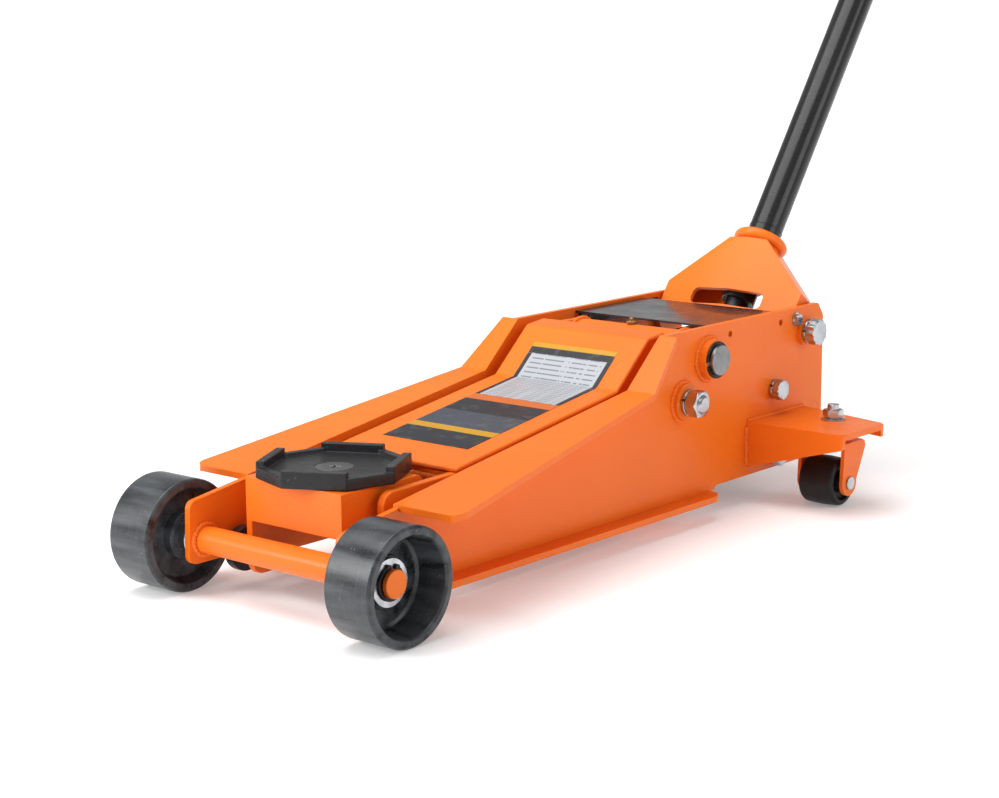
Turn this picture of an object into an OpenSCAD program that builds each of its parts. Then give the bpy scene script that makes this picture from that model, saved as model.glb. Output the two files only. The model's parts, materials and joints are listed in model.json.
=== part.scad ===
// Trolley jack: a lifting arm between two folded side plates, on two front rollers and two rear casters.
// Y = 0 is the front axle while the pieces are laid out; +Y runs back to the handle, +X is the right side,
// and the floor is at Z = 0. At the end each piece is moved so that the overall box is centred on the origin.

/* [Frame] */
// Clear width between the two side plates
inner_gap = 174; // [164:1:210]
// Thickness of the folded side plates
plate_t = 6; // [5:0.5:7]
// Height of the plates' top edge above the floor
frame_top_z = 190; // [188:1:196]
// Height of the plates' bottom edge at the rear
frame_low_z = 29.5; // [26:0.5:31]
// Reach of the outward top flange at its front end, from the centre plane
flange_reach = 158; // [140:1:175]
// Width of the bottom lip outside each plate
lip_w = 19; // [12:1:24]

/* [Lifting arm] */
// Distance along Y from the yoke pin back to the arm's main shaft
arm_run = 414; // [340:1:500]
// Height of the main shaft above the floor
shaft_z = 158.4; // [157:0.2:160]
// Drop from the main shaft to the yoke pin with the arm down
arm_drop = 86.4; // [84:0.2:88]
// Diameter of the main shaft
shaft_d = 30; // [25:0.5:36]
// Thickness of the two arm cheeks
cheek_t = 8; // [6:0.5:9]
// Thickness of the arm's top cover
cover_t = 5; // [4:0.5:6]
// Length of the crank under the arm that the ram pushes
crank_r = 75; // [70:0.5:78]

/* [Yoke and saddle] */
// Width of the yoke that carries the saddle
yoke_w = 114.6; // [100:0.2:118]
// Diameter of the upper yoke pin
yoke_pin_d = 20; // [16:0.5:24]
// Diameter of the lower yoke pin that joins the radius rods
rod_pin_d = 16; // [12:0.5:20]
// Width of the saddle across the sides that carry its lugs
saddle_w = 122; // [112:1:126]

/* [Front rollers] */
// Diameter of the front rollers
roller_d = 100; // [96:1:104]
// Width of the front rollers
roller_w = 49.3; // [40:0.1:60]
// Diameter of the front axle
axle_d = 24; // [20:0.5:28]

/* [Casters] */
// Diameter of the caster wheels
caster_d = 50; // [46:1:54]
// Width of the caster wheels' tread
caster_w = 39; // [30:0.5:42]
// Distance from the swivel forward to the wheel axle
caster_trail = 10; // [6:0.5:14]
// Distance from the centre plane to the caster swivels
caster_x = 155.5; // [150:0.5:170]

/* [Hydraulics] */
// Diameter of the ram
ram_d = 40; // [34:0.5:46]
// Diameter of the pump plunger
plunger_d = 14; // [10:0.5:18]

/* [Handle] */
// Elevation of the handle above the floor, in degrees
handle_tilt = 54; // [48:0.5:60]
// Diameter of the handle tube
handle_d = 36; // [32:0.5:38]
// Length of the handle from its pivot to its end
handle_len = 1156; // [900:1:1300]
// Diameter of the bolts that the handle socket turns on
pivot_bolt_d = 16; // [12:0.5:18]

/* [Hidden] */
$fn = 64;

orange = [0.96, 0.42, 0.10];
black = [0.07, 0.07, 0.08];
zinc = [0.76, 0.77, 0.78];
cast = [0.10, 0.10, 0.11];
steel = [0.62, 0.62, 0.64];
brass = [0.78, 0.60, 0.25];

// Clearances
run_gap = 0.08; // radial, between a shaft and the bore that turns on it
seat_gap = 0.05; // radial, between a fixed pin and its hole
face_gap = 0.4; // between faces that slide past each other

// Side plates
inner_x = inner_gap / 2;
outer_x = inner_x + plate_t;
roller_r = roller_d / 2;
nose_y = 18;
nose_low_z = 30;
nose_top_z = 85;
lip_low_z = 20;
lip_front_y = 78;
flange_y1 = 51.6;
flange_z1 = 97.7;
// Round bosses welded on the plates' outer faces at the three pivots
shaft_boss_t = 10;
stud_boss_t = 6;
bolt_boss_t = 4;
shaft_end_x = outer_x + shaft_boss_t + 6;

// Lifting arm
yoke_pin_y = 80;
shaft_y = yoke_pin_y + arm_run;
handle_y = shaft_y + 174;
handle_z = shaft_z + 5.6;
frame_rear_y = handle_y + 35.5;
yoke_pin_z = shaft_z - arm_drop;
flange_y2 = shaft_y - 123;
flange_z2 = shaft_z - 13.6;
flange_y3 = shaft_y - 72;
flange_reach2 = outer_x + 25.5;
flange_reach3 = outer_x + 13;
rod_dy = 42; // the lower linkage lies this far forward of the upper one
rod_dz = 36; // and this far below it
rod_pin_y = yoke_pin_y - rod_dy;
rod_pin_z = yoke_pin_z - rod_dz;
rod_stud_y = shaft_y - rod_dy;
rod_stud_z = shaft_z - rod_dz;
rod_t = 9;
rod_x1 = inner_x - 3.5;
rod_x0 = rod_x1 - rod_t;
cheek_x1 = rod_x0 - 2.5;
cheek_x0 = cheek_x1 - cheek_t;
cover_x = cheek_x1 + 3;
cover_front_y = 145;
cover_end_y = shaft_y - 47;
cover_drop = 2; // the cover lies this far below the flanges
cover_line = [[cover_front_y, flange_z(cover_front_y) - cover_drop], [flange_y2, flange_z2 - cover_drop],
    [flange_y3 - 2, frame_top_z - 4], [cover_end_y, frame_top_z - 1]];
label_line = [on_cover(186), cover_line[1], [flange_y2 + 33.4, cover_z2(flange_y2 + 33.4)]];
label_x = 51;
label_t = 0.4;
cheek_r2 = 25; // cheek end round the main shaft
hub_d = 50;
bush_wall = 3;
bush_bore = shaft_d + 2 * run_gap;
bush_d = shaft_d + 2 * bush_wall;

// Crank and ram
crank_tilt = 28; // half of the arm's full swing, so that the crank passes straight down at mid lift
crank_y = shaft_y + crank_r * sin(crank_tilt);
crank_z = shaft_z - crank_r * cos(crank_tilt);
crank_roller_d = 30;
crank_pin_d = 14;
lever_x0 = 18.5;
lever_t = 10;
ram_z = shaft_z - crank_r * (1 + cos(crank_tilt)) / 2 + 4;
head_gap = 0.85; // lost motion that keeps the flat head off the swinging roller
head_y0 = crank_y + crank_roller_d / 2 + head_gap;
head_t = 10;
head_y1 = head_y0 + head_t;
spring_x = inner_x - 25;
spring_z = ram_z - 11;
spring_d = 14;
rear_rod_y = shaft_y + 196;
rear_rod_d = 12;

// Power unit
bolt_y = shaft_y + 117.5;
bolt_z = [43, 111];
bolt_d = 12;
block_y0 = bolt_y - 31;
block_y1 = bolt_y + 11;
block_x = 42;
block_top_z = 126;
gland_y0 = head_y1 + 1.5;
gland_y1 = gland_y0 + 12;
barrel_end_y = handle_y - 14;
barrel_d = ram_d + 20;
plunger_x = -35;
plunger_in = 16.5; // free bore ahead of the plunger at rest
plunger_bore_y0 = block_y0 + 6;

// Handle socket, laid out along the handle from its pivot
socket_t = 5;
socket_x = inner_x - 3;
ridge_n = 26;
edge_n = 17;
socket_z0 = 4;
socket_z1 = 34;
socket_z2 = 90;
apex_x = 23;
wall_back = 18; // how far the folded sides reach behind the handle's axis
sleeve_d = 2 * (ridge_n - socket_t) - 0.5;
sleeve_z0 = 42;
collar_z1 = 103;
collar_d = 59;
handle_z0 = 24;
handle_wall = 2.5;
handle_joint = 600;
ball_r = 9;
cup_r = 13.5;
pusher_r = 27; // distance from the pivot down to the pusher roller
pusher_y = handle_y;
pusher_z = handle_z - pusher_r;
pusher_d = 22;
pusher_pin_d = 12;
plunger_head_y = pusher_y - pusher_d / 2 - 0.8;
head_disc_t = 5;
stem_d = 12;
stem_len = 56;

// Casters
caster_y = bolt_y + 13.5;
bracket_z = 85;
bracket_t = 6;
bracket_y0 = caster_y - 63;
bracket_x1 = caster_x + 50;
king_d = 12;
race_h = 4;
ball_d = 5;
fork_top_z = bracket_z - bracket_t - 2 * race_h - ball_d;
fork_t = 4;
fork_x1 = caster_w / 2 + 3 + fork_t;
leg_r = 13;
caster_axle_d = 10;

// Front rollers
axle_z = roller_r;
roller_x0 = outer_x + 12.5;
roller_x1 = roller_x0 + roller_w;
hub_x1 = roller_x0 + 22.5;
washer_t = 3;
axle_end_x = hub_x1 + 10.3;

// Overall box
grip_r = handle_d / 2 + 3;
handle_end_y = handle_y + handle_len * cos(handle_tilt) + grip_r * sin(handle_tilt);
origin_y = (handle_end_y - roller_r) / 2;

// Height of the flange's top surface and of the cover at a distance behind the front axle
function flange_z(y) = flange_z1 + (flange_z2 - flange_z1) * (y - flange_y1) / (flange_y2 - flange_y1);
function on_cover(y) = [y, flange_z(y) - cover_drop];
function cover_z2(y) = cover_line[1][1] + (y - cover_line[1][0])
    * (cover_line[2][1] - cover_line[1][1]) / (cover_line[2][0] - cover_line[1][0]);

// Outlines with round corners, and strips of even thickness under a bent line
function unit(v) = v / norm(v);
function corner(p, q, s, r, n = 6) = r == 0 ? [q] : let (
    u = unit(p - q), w = unit(s - q), half = acos(u * w) / 2,
    c = q + unit(u + w) * r / sin(half), a = q + u * r / tan(half), b = q + w * r / tan(half))
    [for (i = [0:n]) c + r * unit((a - c) * (n - i) + (b - c) * i)];
function rounded(pts, rs) = let (n = len(pts))
    [for (i = [0:n - 1]) each corner(pts[(i + n - 1) % n], pts[i], pts[(i + 1) % n], rs[i])];
function below(p, q) = [q.y - p.y, p.x - q.x] / norm(q - p);
function mitre(a, b) = (a + b) / (1 + a * b);
function under(pts, t) = let (n = len(pts)) [for (i = [0:n - 1])
    pts[i] + t * (i == 0 ? below(pts[0], pts[1]) : i == n - 1 ? below(pts[n - 2], pts[n - 1])
    : mitre(below(pts[i - 1], pts[i]), below(pts[i], pts[i + 1])))];
function reversed(v) = [for (i = [len(v) - 1:-1:0]) v[i]];
function strip(pts, t) = concat(pts, reversed(under(pts, t)));

module centred() {
    translate([0, -origin_y, 0]) children();
}

module along_x(x0, x1) {
    translate([x0, 0, 0]) rotate([90, 0, 90]) linear_extrude(x1 - x0) children();
}

module along_y(y0, y1) {
    translate([0, y1, 0]) rotate([90, 0, 0]) linear_extrude(y1 - y0) children();
}

module bar_x(x0, x1, y, z, d) {
    translate([x0, y, z]) rotate([0, 90, 0]) cylinder(h = x1 - x0, d = d);
}

module bar_y(y0, y1, x, z, d) {
    translate([x, y0, z]) rotate([-90, 0, 0]) cylinder(h = y1 - y0, d = d);
}

module ring_x(x0, x1, y, z, d, bore) {
    difference() {
        bar_x(x0, x1, y, z, d);
        bar_x(x0 - 1, x1 + 1, y, z, bore);
    }
}

module both_sides() {
    children();
    mirror([1, 0, 0]) children();
}

// A ring with a gap cut through it towards the given angle, for snap rings and spring washers
module split_ring_x(x0, x1, y, z, d, bore, gap, turn) {
    difference() {
        ring_x(x0, x1, y, z, d, bore);
        translate([x0 - 1, y, z]) rotate([turn, 0, 0]) translate([0, 0, -gap / 2])
            cube([x1 - x0 + 2, d, gap]);
    }
}

module hex_x(x0, x1, y, z, flats) {
    translate([x0, y, z]) rotate([0, 90, 0]) cylinder(h = x1 - x0, d = flats / cos(30), $fn = 6);
}

// Frame of the handle: origin at its pivot, +Z along the handle, -Y towards the jack's front
module on_handle() {
    translate([0, handle_y, handle_z]) rotate([handle_tilt - 90, 0, 0]) children();
}

// ---- Chassis ----

plate_line = [[flange_y1, flange_z1], [flange_y2, flange_z2], [flange_y3, frame_top_z]];

module plate_outline() {
    polygon(rounded([[-nose_y, nose_low_z], [-nose_y + 2, nose_top_z], [flange_y1, flange_z1 - 3],
        [flange_y1, flange_z1], [flange_y2, flange_z2], [flange_y3, frame_top_z],
        [frame_rear_y - 10, frame_top_z], [frame_rear_y, frame_top_z - 13], [frame_rear_y, frame_low_z],
        [shaft_y + 17, frame_low_z], [shaft_y + 3, lip_low_z], [lip_front_y, lip_low_z],
        [lip_front_y - 30, nose_low_z]], [8, 8, 0, 0, 0, 6, 3, 3, 2, 0, 0, 0, 0]));
}

module top_flange() {
    intersection() {
        along_x(inner_x, flange_reach + 1) polygon(strip(plate_line, plate_t));
        linear_extrude(frame_top_z + 10) polygon(rounded([[inner_x, flange_y1], [flange_reach, flange_y1],
            [flange_reach2, flange_y2], [flange_reach3, flange_y3 + 4], [inner_x, flange_y3 + 4]],
            [4, 11, 60, 6, 0]));
    }
}

module bottom_lip() {
    translate([0, 0, lip_low_z]) linear_extrude(plate_t) polygon(rounded([[inner_x, lip_front_y],
        [outer_x + lip_w, lip_front_y], [outer_x + lip_w, shaft_y - 9], [outer_x + lip_w - 8, shaft_y + 3],
        [inner_x, shaft_y + 3]], [0, 8, 4, 3, 0]));
}

module side_plate() {
    difference() {
        union() {
            along_x(inner_x, outer_x) plate_outline();
            top_flange();
            bottom_lip();
            bar_x(inner_x, outer_x + shaft_boss_t, shaft_y, shaft_z, shaft_d + 10);
            bar_x(inner_x, outer_x + stud_boss_t, rod_stud_y, rod_stud_z, rod_pin_d + 20);
            bar_x(inner_x, outer_x + bolt_boss_t, handle_y, handle_z, pivot_bolt_d + 14);
        }
        bar_x(inner_x - 1, outer_x + 1, 0, axle_z, axle_d + 2 * seat_gap);
        bar_x(inner_x - 1, outer_x + 20, shaft_y, shaft_z, shaft_d + 2 * seat_gap);
        bar_x(inner_x - 1, outer_x + 20, rod_stud_y, rod_stud_z, rod_pin_d + 2 * seat_gap);
        bar_x(inner_x - 1, outer_x + 20, handle_y, handle_z, pivot_bolt_d + 2 * seat_gap);
        bar_x(inner_x - 1, outer_x + 1, rear_rod_y, spring_z, rear_rod_d + 2 * seat_gap);
        for (z = bolt_z) bar_x(inner_x - 1, outer_x + 1, bolt_y, z, bolt_d + 2 * seat_gap);
        for (y = cover_holes) bar_x(inner_x - 1, outer_x + 1, y, cover_hole_z, cover_hole_d);
    }
}

module right_side_plate() {
    color(orange) centred() side_plate();
}

module left_side_plate() {
    color(orange) centred() mirror([1, 0, 0]) side_plate();
}

// Tie plate under the arm, and the rear rod that anchors the return springs
module frame_cross_members() {
    color(orange) centred() {
        translate([-inner_x, shaft_y - 110, lip_low_z]) cube([inner_gap, 70, plate_t]);
        bar_x(-outer_x, outer_x, rear_rod_y, spring_z, rear_rod_d);
    }
}

module front_axle() {
    groove_d = axle_d - 3;
    color(orange) centred() difference() {
        bar_x(-axle_end_x, axle_end_x, 0, axle_z, axle_d);
        both_sides() ring_x(ring_x0 - 0.1, ring_x0 + 2.2, 0, axle_z, axle_d + 2, groove_d);
    }
}

ring_t = 2;
shaft_ring_x0 = outer_x + shaft_boss_t + 0.2;
ring_x0 = hub_x1 + washer_t + 0.5;
module lift_arm_shaft() {
    color(steel) centred() difference() {
        bar_x(-shaft_end_x, shaft_end_x, shaft_y, shaft_z, shaft_d);
        both_sides() ring_x(shaft_ring_x0 - 0.1, shaft_ring_x0 + ring_t + 0.1, shaft_y, shaft_z,
            shaft_d + 2, shaft_d - 3);
    }
}

// Snap rings on the main shaft and on the front axle
module snap_rings() {
    color(black) centred() both_sides() {
        split_ring_x(shaft_ring_x0, shaft_ring_x0 + ring_t, shaft_y, shaft_z, shaft_d + 6, shaft_d - 2.8,
            5, 190);
        split_ring_x(ring_x0, ring_x0 + ring_t, 0, axle_z, axle_d + 6, axle_d - 2.8, 5, 80);
    }
}

// ---- Front rollers ----

module front_roller() {
    rim_in = roller_r - 8;
    web_x0 = roller_x0 + 11;
    web_x1 = roller_x0 + 19;
    hub_r = axle_d / 2 + 10;
    bore_r = axle_d / 2 + run_gap;
    translate([0, 0, axle_z]) rotate([0, 90, 0]) rotate_extrude($fn = 96) polygon([[bore_r, roller_x0 + 1],
        [hub_r, roller_x0 + 1], [hub_r, web_x0], [rim_in - 4, web_x0], [rim_in, roller_x0],
        [roller_r - 1.5, roller_x0], [roller_r, roller_x0 + 1.5], [roller_r, roller_x1 - 2],
        [roller_r - 2, roller_x1], [rim_in + 1, roller_x1], [rim_in - 1, roller_x1 - 3],
        [rim_in - 3, web_x1 + 2], [rim_in - 6, web_x1], [hub_r, web_x1], [hub_r, hub_x1],
        [bore_r, hub_x1]]);
}

module right_front_roller() {
    color(black) centred() front_roller();
}

module left_front_roller() {
    color(black) centred() mirror([1, 0, 0]) front_roller();
}

module roller_washers() {
    color(zinc) centred() both_sides() {
        ring_x(hub_x1 + 0.3, hub_x1 + 0.3 + washer_t, 0, axle_z, axle_d + 17, axle_d + 2 * seat_gap);
        ring_x(outer_x + 0.1, roller_x0 + 0.7, 0, axle_z, axle_d + 12, axle_d + 2 * seat_gap);
    }
}

// ---- Lifting arm ----

module cheek_outline() {
    lower = under(cover_line, cover_t);
    back = shaft_y + cheek_r2;
    polygon(rounded(concat([[yoke_pin_y - 24, yoke_pin_z + 31]], lower, [[back, shaft_z + cheek_r2],
        [back, shaft_z - cheek_r2], [yoke_pin_y - 24, yoke_pin_z - 30]]),
        [12.5, 0, 0, 0, 0, cheek_r2 - 0.5, 19, 20]));
}

module arm_cheek() {
    difference() {
        along_x(cheek_x0, cheek_x1) cheek_outline();
        bar_x(cheek_x0 - 1, cheek_x1 + 1, yoke_pin_y, yoke_pin_z, yoke_pin_d + 2 * run_gap);
        bar_x(cheek_x0 - 1, cheek_x1 + 1, shaft_y, shaft_z, bush_d + 2 * seat_gap);
    }
}

module right_arm_cheek() {
    color(orange) centred() arm_cheek();
}

module left_arm_cheek() {
    color(orange) centred() mirror([1, 0, 0]) arm_cheek();
}

module arm_cover() {
    color(orange) centred() along_x(-cover_x, cover_x) polygon(strip(cover_line, cover_t));
}

module arm_cross_web() {
    web_y = cover_front_y + 5;
    web_top = on_cover(web_y).y - cover_t - 3;
    color(orange) centred() translate([-cheek_x0, web_y, yoke_pin_z - 8])
        cube([2 * cheek_x0, 7, web_top - yoke_pin_z + 8]);
}

// Tube between the cheeks, and the two crank plates welded under it with their pin
module arm_hub() {
    lever_end = [crank_y, crank_z];
    side = [12, 5];
    color(orange) centred() union() {
        ring_x(-cheek_x0, cheek_x0, shaft_y, shaft_z, hub_d, bush_bore + 1);
        both_sides() along_x(lever_x0, lever_x0 + lever_t) union() {
            translate(lever_end) circle(r = 13);
            polygon([[shaft_y - 18, shaft_z - 17], [shaft_y + 18, shaft_z - 17], lever_end + side,
                lever_end - side]);
        }
        bar_x(-lever_x0 - 1, lever_x0 + 1, crank_y, crank_z, crank_pin_d);
    }
}

module arm_bushes() {
    color(brass) centred() both_sides()
        ring_x(cheek_x0 + 0.3, cheek_x1, shaft_y, shaft_z, bush_d, bush_bore);
}

module grease_nipple() {
    color(brass) centred() translate([0, shaft_y, shaft_z + hub_d / 2 + 0.02]) {
        cylinder(h = 3, d = 9, $fn = 6);
        translate([0, 0, 3]) cylinder(h = 1.5, d = 4);
        translate([0, 0, 4.5]) cylinder(h = 2, d = 6);
    }
}

module arm_label() {
    color([0.2, 0.2, 0.22]) centred() along_x(-label_x, label_x)
        polygon(strip(reversed(label_line), label_t));
}

module crank_roller() {
    color(steel) centred() ring_x(-lever_x0 + face_gap, lever_x0 - face_gap, crank_y, crank_z,
        crank_roller_d, crank_pin_d + 2 * run_gap);
}

// ---- Yoke, saddle and radius rods ----

yoke_x = yoke_w / 2;
yoke_t = 7;
yoke_y0 = rod_pin_y - 16.8;
yoke_y1 = yoke_pin_y + 41;
yoke_top_z = yoke_pin_z + 34.5;
saddle_y = yoke_pin_y - 8.3;
saddle_z0 = yoke_top_z + face_gap;
post_d = 16;

module yoke() {
    color(orange) centred() difference() {
        union() {
            both_sides() along_x(yoke_x - yoke_t, yoke_x) polygon(rounded([[yoke_y0, yoke_top_z],
                [yoke_y1, yoke_top_z], [yoke_y1, yoke_top_z - 22], [yoke_y1 - 22, yoke_pin_z - 22],
                [rod_pin_y + 18, rod_pin_z - 17], [yoke_y0, rod_pin_z - 17]], [0, 8, 8, 14, 16, 12]));
            translate([-yoke_x, yoke_y0, yoke_top_z - 8]) cube([yoke_w, yoke_y1 - yoke_y0 - 8, 8]);
            translate([-yoke_x, yoke_y0, yoke_top_z - 39]) cube([yoke_w, yoke_t, 39]);
        }
        bar_x(-yoke_x - 1, yoke_x + 1, yoke_pin_y, yoke_pin_z, yoke_pin_d + 2 * seat_gap);
        bar_x(-yoke_x - 1, yoke_x + 1, rod_pin_y, rod_pin_z, rod_pin_d + 2 * seat_gap);
        translate([0, saddle_y, yoke_top_z - 10]) cylinder(h = 12, d = post_d + 2 * run_gap);
    }
}

// Upper pin through the arm cheeks, and lower pin through the radius rods
yoke_pin_x = cheek_x1 + 1.9;
rod_pin_x = rod_x1 + 2.3;
module yoke_pins() {
    color(black) centred() {
        bar_x(-yoke_pin_x, yoke_pin_x, yoke_pin_y, yoke_pin_z, yoke_pin_d);
        bar_x(-rod_pin_x, rod_pin_x, rod_pin_y, rod_pin_z, rod_pin_d);
    }
}

module yoke_pin_rings() {
    color(black) centred() both_sides() {
        ring_x(cheek_x1 + 0.3, yoke_pin_x - 0.2, yoke_pin_y, yoke_pin_z, yoke_pin_d + 6,
            yoke_pin_d + 2 * seat_gap);
        ring_x(rod_x1 + 0.3, rod_pin_x - 0.4, rod_pin_y, rod_pin_z, rod_pin_d + 6, rod_pin_d + 2 * seat_gap);
    }
}

module yoke_spacers() {
    color(zinc) centred() both_sides() {
        ring_x(yoke_x, cheek_x0 - face_gap, yoke_pin_y, yoke_pin_z, yoke_pin_d + 12,
            yoke_pin_d + 2 * seat_gap);
        ring_x(yoke_x, rod_x0 - face_gap, rod_pin_y, rod_pin_z, rod_pin_d + 8, rod_pin_d + 2 * seat_gap);
    }
}

// Cast saddle: an eight-sided dish with a lug on every other side
saddle_floor_t = 7;
saddle_turn = 28;
lug_h = 8;
rim_t = 8;
screw_head_d = 34;
module saddle() {
    half = saddle_w / 2;
    lug_half = 0.2333 * saddle_w;
    corners = [for (q = [0:3]) each [for (p = [[half, -lug_half], [half, lug_half]])
        [p.x * cos(90 * q) - p.y * sin(90 * q), p.x * sin(90 * q) + p.y * cos(90 * q)]]];
    shrink = (half - rim_t) / half;
    color(cast) centred() translate([0, saddle_y, saddle_z0]) rotate(saddle_turn) difference() {
        union() {
            linear_extrude(saddle_floor_t + 3) polygon(corners);
            for (q = [0:3]) rotate(90 * q) translate([half - rim_t, -lug_half, 0])
                cube([rim_t, 2 * lug_half, saddle_floor_t + lug_h]);
            translate([0, 0, -16]) cylinder(h = 17, d = post_d);
        }
        translate([0, 0, saddle_floor_t]) linear_extrude(15) polygon(shrink * corners);
        translate([0, 0, saddle_floor_t - 5]) cylinder(h = 5.01, d1 = screw_head_d - 10, d2 = screw_head_d);
        translate([0, 0, -17]) cylinder(h = 30, d = 8);
    }
}

module saddle_screw() {
    color(steel) centred() translate([0, saddle_y, saddle_z0]) rotate(saddle_turn) difference() {
        union() {
            translate([0, 0, saddle_floor_t - 4.9])
                cylinder(h = 4.7, d1 = screw_head_d - 10.2, d2 = screw_head_d - 0.4);
            translate([0, 0, -15]) cylinder(h = 18, d = 7.9);
        }
        for (a = [0, 90]) rotate(a) translate([-5, -1, saddle_floor_t - 3]) cube([10, 2, 4]);
    }
}

rod_eye_d = 40;
module radius_rod() {
    slope = atan2(arm_drop, arm_run);
    length = norm([arm_run, arm_drop]);
    difference() {
        along_x(rod_x0, rod_x1) union() {
            translate([rod_pin_y, rod_pin_z]) circle(d = rod_eye_d);
            translate([rod_stud_y, rod_stud_z]) circle(d = rod_eye_d);
            translate([rod_pin_y, rod_pin_z]) rotate(slope) translate([0, -12]) square([length, 24]);
        }
        bar_x(rod_x0 - 1, rod_x1 + 1, rod_pin_y, rod_pin_z, rod_pin_d + 2 * run_gap);
        bar_x(rod_x0 - 1, rod_x1 + 1, rod_stud_y, rod_stud_z, rod_pin_d + 2 * run_gap);
    }
}

module right_radius_rod() {
    color(black) centred() radius_rod();
}

module left_radius_rod() {
    color(black) centred() mirror([1, 0, 0]) radius_rod();
}

nut_flats = rod_pin_d * 1.5;
spring_washer_t = 4;
nut_x0 = outer_x + stud_boss_t + spring_washer_t + 0.2;
nut_t = 13;
module rod_studs() {
    color(zinc) centred() both_sides() {
        bar_x(rod_x0 - 0.6, nut_x0 + nut_t + 3, rod_stud_y, rod_stud_z, rod_pin_d);
        bar_x(cheek_x1 + 0.4, rod_x0 - 0.5, rod_stud_y, rod_stud_z, rod_pin_d + 10);
        ring_x(rod_x1 + face_gap, inner_x - 0.1, rod_stud_y, rod_stud_z, rod_pin_d + 14,
            rod_pin_d + 2 * seat_gap);
    }
}

module rod_nuts() {
    color(zinc) centred() both_sides() difference() {
        hex_x(nut_x0, nut_x0 + nut_t, rod_stud_y, rod_stud_z, nut_flats);
        bar_x(nut_x0 - 1, nut_x0 + nut_t + 1, rod_stud_y, rod_stud_z, rod_pin_d + 2 * seat_gap);
    }
}

// Spring washers under the stud nuts, the pump bolts and the handle pivot bolts
module spring_washers() {
    color(zinc) centred() both_sides() {
        split_ring_x(outer_x + stud_boss_t + 0.1, nut_x0 - 0.1, rod_stud_y, rod_stud_z, rod_pin_d + 10,
            rod_pin_d + 2 * seat_gap, 2, 160);
        for (z = bolt_z) split_ring_x(outer_x + 0.1, bolt_head_x0 - 0.1, bolt_y, z, bolt_d + 8,
            bolt_d + 2 * seat_gap, 2, 150);
        split_ring_x(outer_x + bolt_boss_t + 0.1, pivot_head_x0 - 0.1, handle_y, handle_z,
            pivot_bolt_d + 9, pivot_bolt_d + 2 * seat_gap, 2, 170);
    }
}

// ---- Power unit ----

bolt_head_x0 = outer_x + 4;
bolt_head_t = 8;
module pump_block() {
    lug_x1 = inner_x - 0.1;
    color(cast) centred() difference() {
        union() {
            translate([-block_x, block_y0, bolt_z[0] - 13])
                cube([2 * block_x, block_y1 - block_y0, block_top_z - bolt_z[0] + 13]);
            for (z = bolt_z) bar_x(-lug_x1, lug_x1, bolt_y, z, bolt_d + 15);
            bar_y(gland_y1 + 0.2, barrel_end_y, 0, ram_z, barrel_d);
            on_handle() translate([0, 0, -78]) cylinder(h = 32, d = stem_d + 14);
            bar_y(block_y0, block_y1 + 4, plunger_x, pusher_z, plunger_d + 14);
        }
        bar_y(gland_y1 - 1, barrel_end_y - 6, 0, ram_z, ram_d + 2 * run_gap);
        on_handle() translate([0, 0, -stem_len - 2]) cylinder(h = 16, d = stem_d + 2 * run_gap);
        bar_y(plunger_bore_y0, block_y1 + 5, plunger_x, pusher_z, plunger_d + 2 * run_gap);
        both_sides() for (z = bolt_z) bar_x(bolt_end_x - 1, inner_x + 1, bolt_y, z, bolt_d + 2 * seat_gap);
    }
}

bolt_end_x = inner_x - 24;
module pump_bolts() {
    color(zinc) centred() both_sides() for (z = bolt_z) {
        bar_x(bolt_end_x, bolt_head_x0, bolt_y, z, bolt_d);
        hex_x(bolt_head_x0, bolt_head_x0 + bolt_head_t, bolt_y, z, bolt_d * 1.55);
    }
}

module gland_nut() {
    color(steel) centred() difference() {
        translate([0, gland_y0, ram_z]) rotate([-90, 0, 0])
            cylinder(h = gland_y1 - gland_y0, d = barrel_d + 6, $fn = 8);
        bar_y(gland_y0 - 1, gland_y1 + 1, 0, ram_z, ram_d + 2 * run_gap);
    }
}

module ram() {
    ram_len = barrel_end_y - 8 - head_y1;
    color(steel) centred() bar_y(head_y1, head_y1 + ram_len, 0, ram_z, ram_d);
}

// Flat push head with an ear on each side for the return springs
module ram_head() {
    color(cast) centred() difference() {
        union() {
            translate([1.5 - lever_x0, head_y0, ram_z - ram_d / 2])
                cube([2 * lever_x0 - 3, head_t, ram_d]);
            translate([-spring_x - 8, head_y0 + 3, spring_z - 7])
                cube([2 * spring_x + 16, head_t - 3, 14]);
        }
        both_sides() bar_y(head_y0 - 1, head_y1 + 1, spring_x, spring_z, 6);
    }
}

module return_springs() {
    color(steel) centred() both_sides()
        bar_y(head_y1 + 0.3, rear_rod_y - rear_rod_d / 2 - 0.3, spring_x, spring_z, spring_d);
}

module reservoir() {
    tank_y0 = block_y0 - 14;
    tank_h = frame_top_z - 24 - block_top_z;
    tank_x0 = plunger_x + plunger_d / 2 + 13;
    color(cast) centred() {
        translate([0, 0, block_top_z + 0.1]) linear_extrude(tank_h) polygon(rounded([[tank_x0, tank_y0],
            [58, tank_y0], [58, block_y1 - 2], [tank_x0, block_y1 - 2]], [8, 8, 8, 8]));
        translate([30, block_y0 + 14, block_top_z + tank_h + 0.1]) cylinder(h = 8, d = 14, $fn = 6);
    }
}

module pump_plunger() {
    rod_len = plunger_head_y - plunger_bore_y0 - plunger_in;
    color(steel) centred() union() {
        bar_y(plunger_head_y - rod_len, plunger_head_y, plunger_x, pusher_z, plunger_d);
        bar_y(plunger_head_y - head_disc_t, plunger_head_y, plunger_x, pusher_z, plunger_d + 14);
    }
}

module plunger_spring() {
    y0 = block_y1 + 4.3;
    y1 = plunger_head_y - head_disc_t - 0.3;
    color(steel) centred() difference() {
        bar_y(y0, y1, plunger_x, pusher_z, plunger_d + 8);
        bar_y(y0 - 1, y1 + 1, plunger_x, pusher_z, plunger_d + 3);
    }
}

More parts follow.
